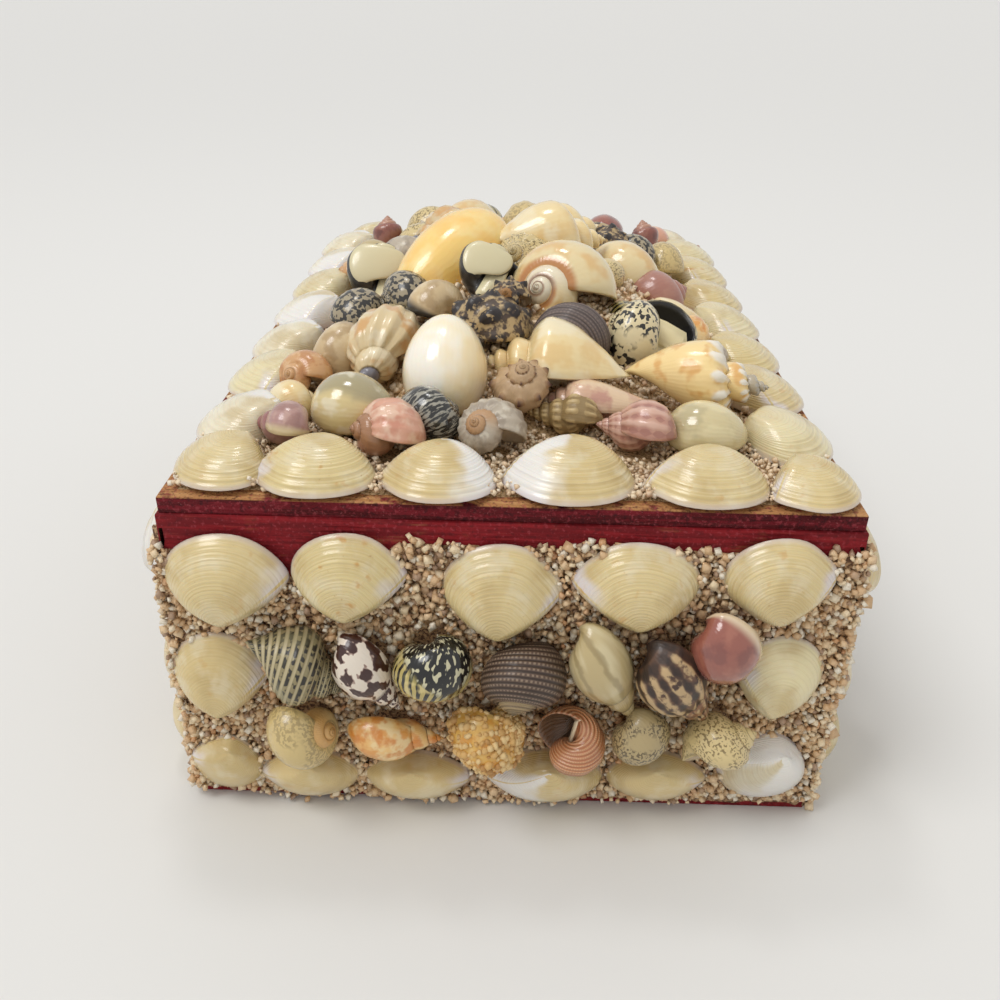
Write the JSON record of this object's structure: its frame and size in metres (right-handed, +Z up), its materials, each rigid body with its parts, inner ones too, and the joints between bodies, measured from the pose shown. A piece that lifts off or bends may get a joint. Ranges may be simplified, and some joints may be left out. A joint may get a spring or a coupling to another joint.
{
  "type": "shell box",
  "caption": "Rectangular wooden keepsake box with a loose flat lid, coated in coarse sand and covered with glued seashells, heaped on the lid.",
  "frame": {"origin": "middle of the box's underside, where it stands", "axes": "+X to the right seen from the front, +Y from the front wall to the back wall, along the box, +Z up"},
  "size_m": [0.1378, 0.1956, 0.0927],
  "materials": {
    "stained_wood": "red-stained softwood with bare brown faces, rough sawn edges",
    "sand": "coarse pale coral sand set in glue, dull and grainy",
    "clam_shell": "cream yellow shell with fine growth lines, varnished",
    "pale_shell": "white and cream shell, varnished",
    "brown_shell": "brown ribbed shell, varnished",
    "dark_shell": "black and grey streaked shell, glossy",
    "orange_shell": "orange and yellow shell, glossy",
    "rose_shell": "mauve and rose shell, glossy",
    "olive_shell": "grey-green dashed shell, satin"
  },
  "bodies": {
    "root": {"back_board": "stained_wood", "back_sand_and_shells": "sand", "bottom_board": "stained_wood", "front_board": "stained_wood", "front_bottom_clam_1": "clam_shell", "front_bottom_clam_2": "clam_shell", "front_bottom_clam_3": "clam_shell", "front_bottom_clam_4": "clam_shell", "front_bottom_clam_5": "clam_shell", "front_bottom_clam_6": "clam_shell", "front_brown_periwinkle": "brown_shell", "front_cream_turban": "pale_shell", "front_flame_snail": "pale_shell", "front_green_turban": "olive_shell", "front_grey_whelk": "olive_shell", "front_left_clam": "clam_shell", "front_orange_cone": "orange_shell", "front_pale_periwinkle": "pale_shell", "front_peach_turban": "orange_shell", "front_red_snail": "rose_shell", "front_ribbed_nerite": "brown_shell", "front_right_clam": "clam_shell", "front_sand": "sand", "front_sandy_moon": "pale_shell", "front_speckled_moon": "pale_shell", "front_striped_nerite": "dark_shell", "front_top_clam_1": "clam_shell", "front_top_clam_2": "clam_shell", "front_top_clam_3": "clam_shell", "front_top_clam_4": "clam_shell", "front_top_clam_5": "clam_shell", "left_board": "stained_wood", "left_sand_and_shells": "sand", "lid_black_nerite": "dark_shell", "lid_black_nerite_2": "dark_shell", "lid_board": "stained_wood", "lid_clear_cowrie": "pale_shell", "lid_cream_conch": "pale_shell", "lid_dark_drupe": "dark_shell", "lid_egg_cowrie": "pale_shell", "lid_front_clam_1": "clam_shell", "lid_front_clam_2": "clam_shell", "lid_front_clam_3": "clam_shell", "lid_front_clam_4": "clam_shell", "lid_front_clam_5": "clam_shell", "lid_front_clam_6": "clam_shell", "lid_grey_nerite": "dark_shell", "lid_knobbed_conch": "pale_shell", "lid_mauve_conch": "rose_shell", "lid_moon_snail": "pale_shell", "lid_nodular_whelk": "pale_shell", "lid_olive_cowrie": "pale_shell", "lid_orange_cowrie": "orange_shell", "lid_ribbed_turban": "pale_shell", "lid_sand_and_small_shells": "sand", "lid_speckled_nerite": "pale_shell", "lid_star_snail": "brown_shell", "lid_top_conch": "pale_shell", "right_board": "stained_wood", "right_sand_and_shells": "sand"}
  },
  "joints": []
}
